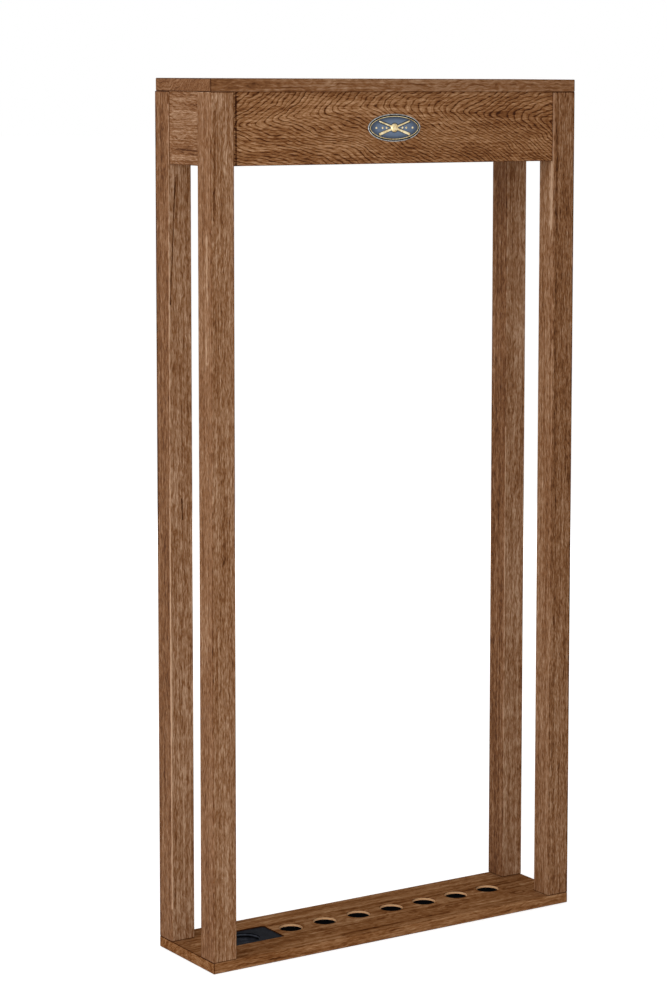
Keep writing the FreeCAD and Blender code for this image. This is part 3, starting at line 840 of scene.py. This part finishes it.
def addCue(sheet, side, glass):   # a turned cue, flattened and cut off a little below the glass
    cue = bmesh.new()
    turnProfile(cue, inMetres(badgeShape["cue"]), Vector(), Vector((1, 0, 0)), Vector((0, 0, 1)),
                badgeShape["cueSteps"])
    bmesh.ops.remove_doubles(cue, verts=cue.verts, dist=mergeWithin)
    turn = math.radians(side * badgeShape["cueLean"] + (180 if side < 0 else 0))   # both butts hang low
    lay = Matrix.Translation((0, 0, glass)) @ Matrix.Rotation(turn, 4, "Z")
    lay = lay @ Matrix.Diagonal((1, 1, badgeShape["cueFlatness"], 1))
    bmesh.ops.transform(cue, matrix=lay, verts=cue.verts)
    cut = bmesh.ops.bisect_plane(
        cue, geom=cue.verts[:] + cue.edges[:] + cue.faces[:], clear_inner=True,
        plane_co=(0, 0, glass - badgeShape["cueSunk"] * mm), plane_no=(0, 0, 1))
    bmesh.ops.holes_fill(cue, edges=[e for e in cut["geom_cut"] if isEdge(e)], sides=0)
    bmesh.ops.recalc_face_normals(cue, faces=cue.faces)
    half = bpy.data.meshes.new("halfCue")
    cue.to_mesh(half)
    cue.free()
    sheet.from_mesh(half)
    bpy.data.meshes.remove(half)


def makeBadgeMotif(stand, glass):
    sheet = bmesh.new()
    up, out = Vector((0, 0, 1)), Vector((1, 0, 0))
    for side in (-1, 1):
        addCue(sheet, side, glass)
    foot = up * (glass - badgeShape["ballSunk"] * mm)
    turnProfile(sheet, inMetres(badgeShape["ball"]), foot, up, out, badgeShape["ballSteps"])
    for away in badgeShape["studsOut"]:
        for side in (-1, 1):
            foot = up * (glass - badgeShape["studSunk"] * mm) + out * side * away * mm
            turnProfile(sheet, inMetres(badgeShape["stud"]), foot, up, out, badgeShape["studSteps"])
    bmesh.ops.transform(sheet, matrix=stand, verts=sheet.verts)
    finishPiece("badgeMotif", sheet, [metalMaterials["lacqueredPaleBrass"]], "pewter", "badge_emblem")


def makeBadge():
    low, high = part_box("badge_plate")
    middle = (low + high) / 2
    halfLength, halfHeight = (high.x - low.x) / 2, (high.z - low.z) / 2
    inset = sum(step[0] for step in badgeShape["plate"]) * mm
    stand = Matrix.Translation((middle.x, high.y, middle.z)) @ Matrix.Rotation(math.pi / 2, 4, "X")
    tray = makeBadgePlate(stand, halfLength, halfHeight)
    glass = makeBadgeEnamel(stand, halfLength - inset, halfHeight - inset, tray)
    makeBadgeMotif(stand, glass)


makeBadge()
print("badge made")


# A plain pale floor that stays white to the eye except in the rack's own shadow, and an even soft room.
stageLook = {
    "floorRadius": 60,
    "floorSteps": 96,
    "floorHeight": -0.5 * mm,
    "floorColour": 0.8,
    "floorGlow": 0.62,
    "roomLight": 0.5,
}


def seenByEye(add):   # 1 where the eye sees it, straight, in a shine or through glass
    rays = add("LightPath").outputs
    seen = add("Math", {0: rays["Is Camera Ray"], 1: rays["Is Glossy Ray"]}, operation="MAXIMUM")
    return add("Math", {0: seen, 1: rays["Is Transmission Ray"]}, operation="MAXIMUM")


def makeFloor():
    sheet = bmesh.new()
    bmesh.ops.create_circle(
        sheet, cap_ends=True, radius=stageLook["floorRadius"], segments=stageLook["floorSteps"],
        matrix=Matrix.Translation((0, 0, stageLook["floorHeight"])))
    mesh = bpy.data.meshes.new("floor")
    sheet.to_mesh(mesh)
    sheet.free()
    floor = bpy.data.objects.new("floor", mesh)
    bpy.context.scene.collection.objects.link(floor)
    material, add = newMaterial("mattPaleFloor")
    strength = add("Math", {0: seenByEye(add), 1: stageLook["floorGlow"]}, operation="MULTIPLY")
    glow = add("Emission", {"Strength": strength})
    paint = add("BsdfDiffuse", {"Color": [stageLook["floorColour"]] * 3 + [1]})
    add("OutputMaterial", {"Surface": add("AddShader", {0: paint, 1: glow})})
    mesh.materials.append(material)


def makeRoom():
    room = bpy.data.worlds.new("softRoom")
    bpy.context.scene.world = room
    room.use_nodes = True
    room.node_tree.nodes.clear()
    add = partial(addNode, room.node_tree)
    level = add("MapRange", {"Value": seenByEye(add), "To Min": stageLook["roomLight"], "To Max": 1.0})
    add("OutputWorld", {"Surface": add("Background", {"Color": (1, 1, 1, 1), "Strength": level})})


lamps = {
    "key": {"at": (-4.2, -1.2, 2.5), "aim": (0, 0, 1.0), "size": 1.8, "watts": 70},
    "front": {"at": (-2.9, -3.9, 0.9), "aim": (0, 0, 0.7), "size": 2.0, "watts": 88},
    "rear": {"at": (2.2, 4.0, 1.8), "aim": (0, 0, 0.8), "size": 2.2, "watts": 45},
}


def makeLamps():
    for name, lamp in lamps.items():
        light = bpy.data.lights.new(name, "AREA")
        light.shape = "SQUARE"
        light.size = lamp["size"]
        light.energy = lamp["watts"]
        holder = bpy.data.objects.new(name, light)
        bpy.context.scene.collection.objects.link(holder)
        holder.location = lamp["at"]
        beam = Vector(lamp["aim"]) - Vector(lamp["at"])
        holder.rotation_euler = beam.to_track_quat("-Z", "Y").to_euler()


cameraPlace = {
    "at": (-2.7026, -4.1505, 1.5376),
    "turn": 34.961,          # degrees to the right of straight at the wall
    "down": 6.005,
    "roll": 0.308,
    "lens": 100.92,
    "shift": (-0.1287, -0.1337),
}


def makeCamera():
    turn, down, roll = (math.radians(cameraPlace[angle]) for angle in ("turn", "down", "roll"))
    ahead = Vector((math.sin(turn) * math.cos(down), math.cos(turn) * math.cos(down), -math.sin(down)))
    right = Vector((math.cos(turn), -math.sin(turn), 0))
    upward = right.cross(ahead)
    tiltedRight = right * math.cos(roll) + upward * math.sin(roll)
    tiltedUp = upward * math.cos(roll) - right * math.sin(roll)
    lens = bpy.data.cameras.new("camera")
    lens.sensor_width = 36
    lens.lens = cameraPlace["lens"]
    lens.shift_x, lens.shift_y = cameraPlace["shift"]
    lens.clip_end = 200
    camera = bpy.data.objects.new("camera", lens)
    bpy.context.scene.collection.objects.link(camera)
    aimed = Matrix((tiltedRight, tiltedUp, -ahead)).transposed().to_4x4()
    camera.matrix_world = Matrix.Translation(cameraPlace["at"]) @ aimed
    bpy.context.scene.camera = camera


makeFloor()
makeRoom()
makeLamps()
makeCamera()
bpy.context.scene.view_settings.view_transform = "Standard"
print("floor, room, lamps and camera set")
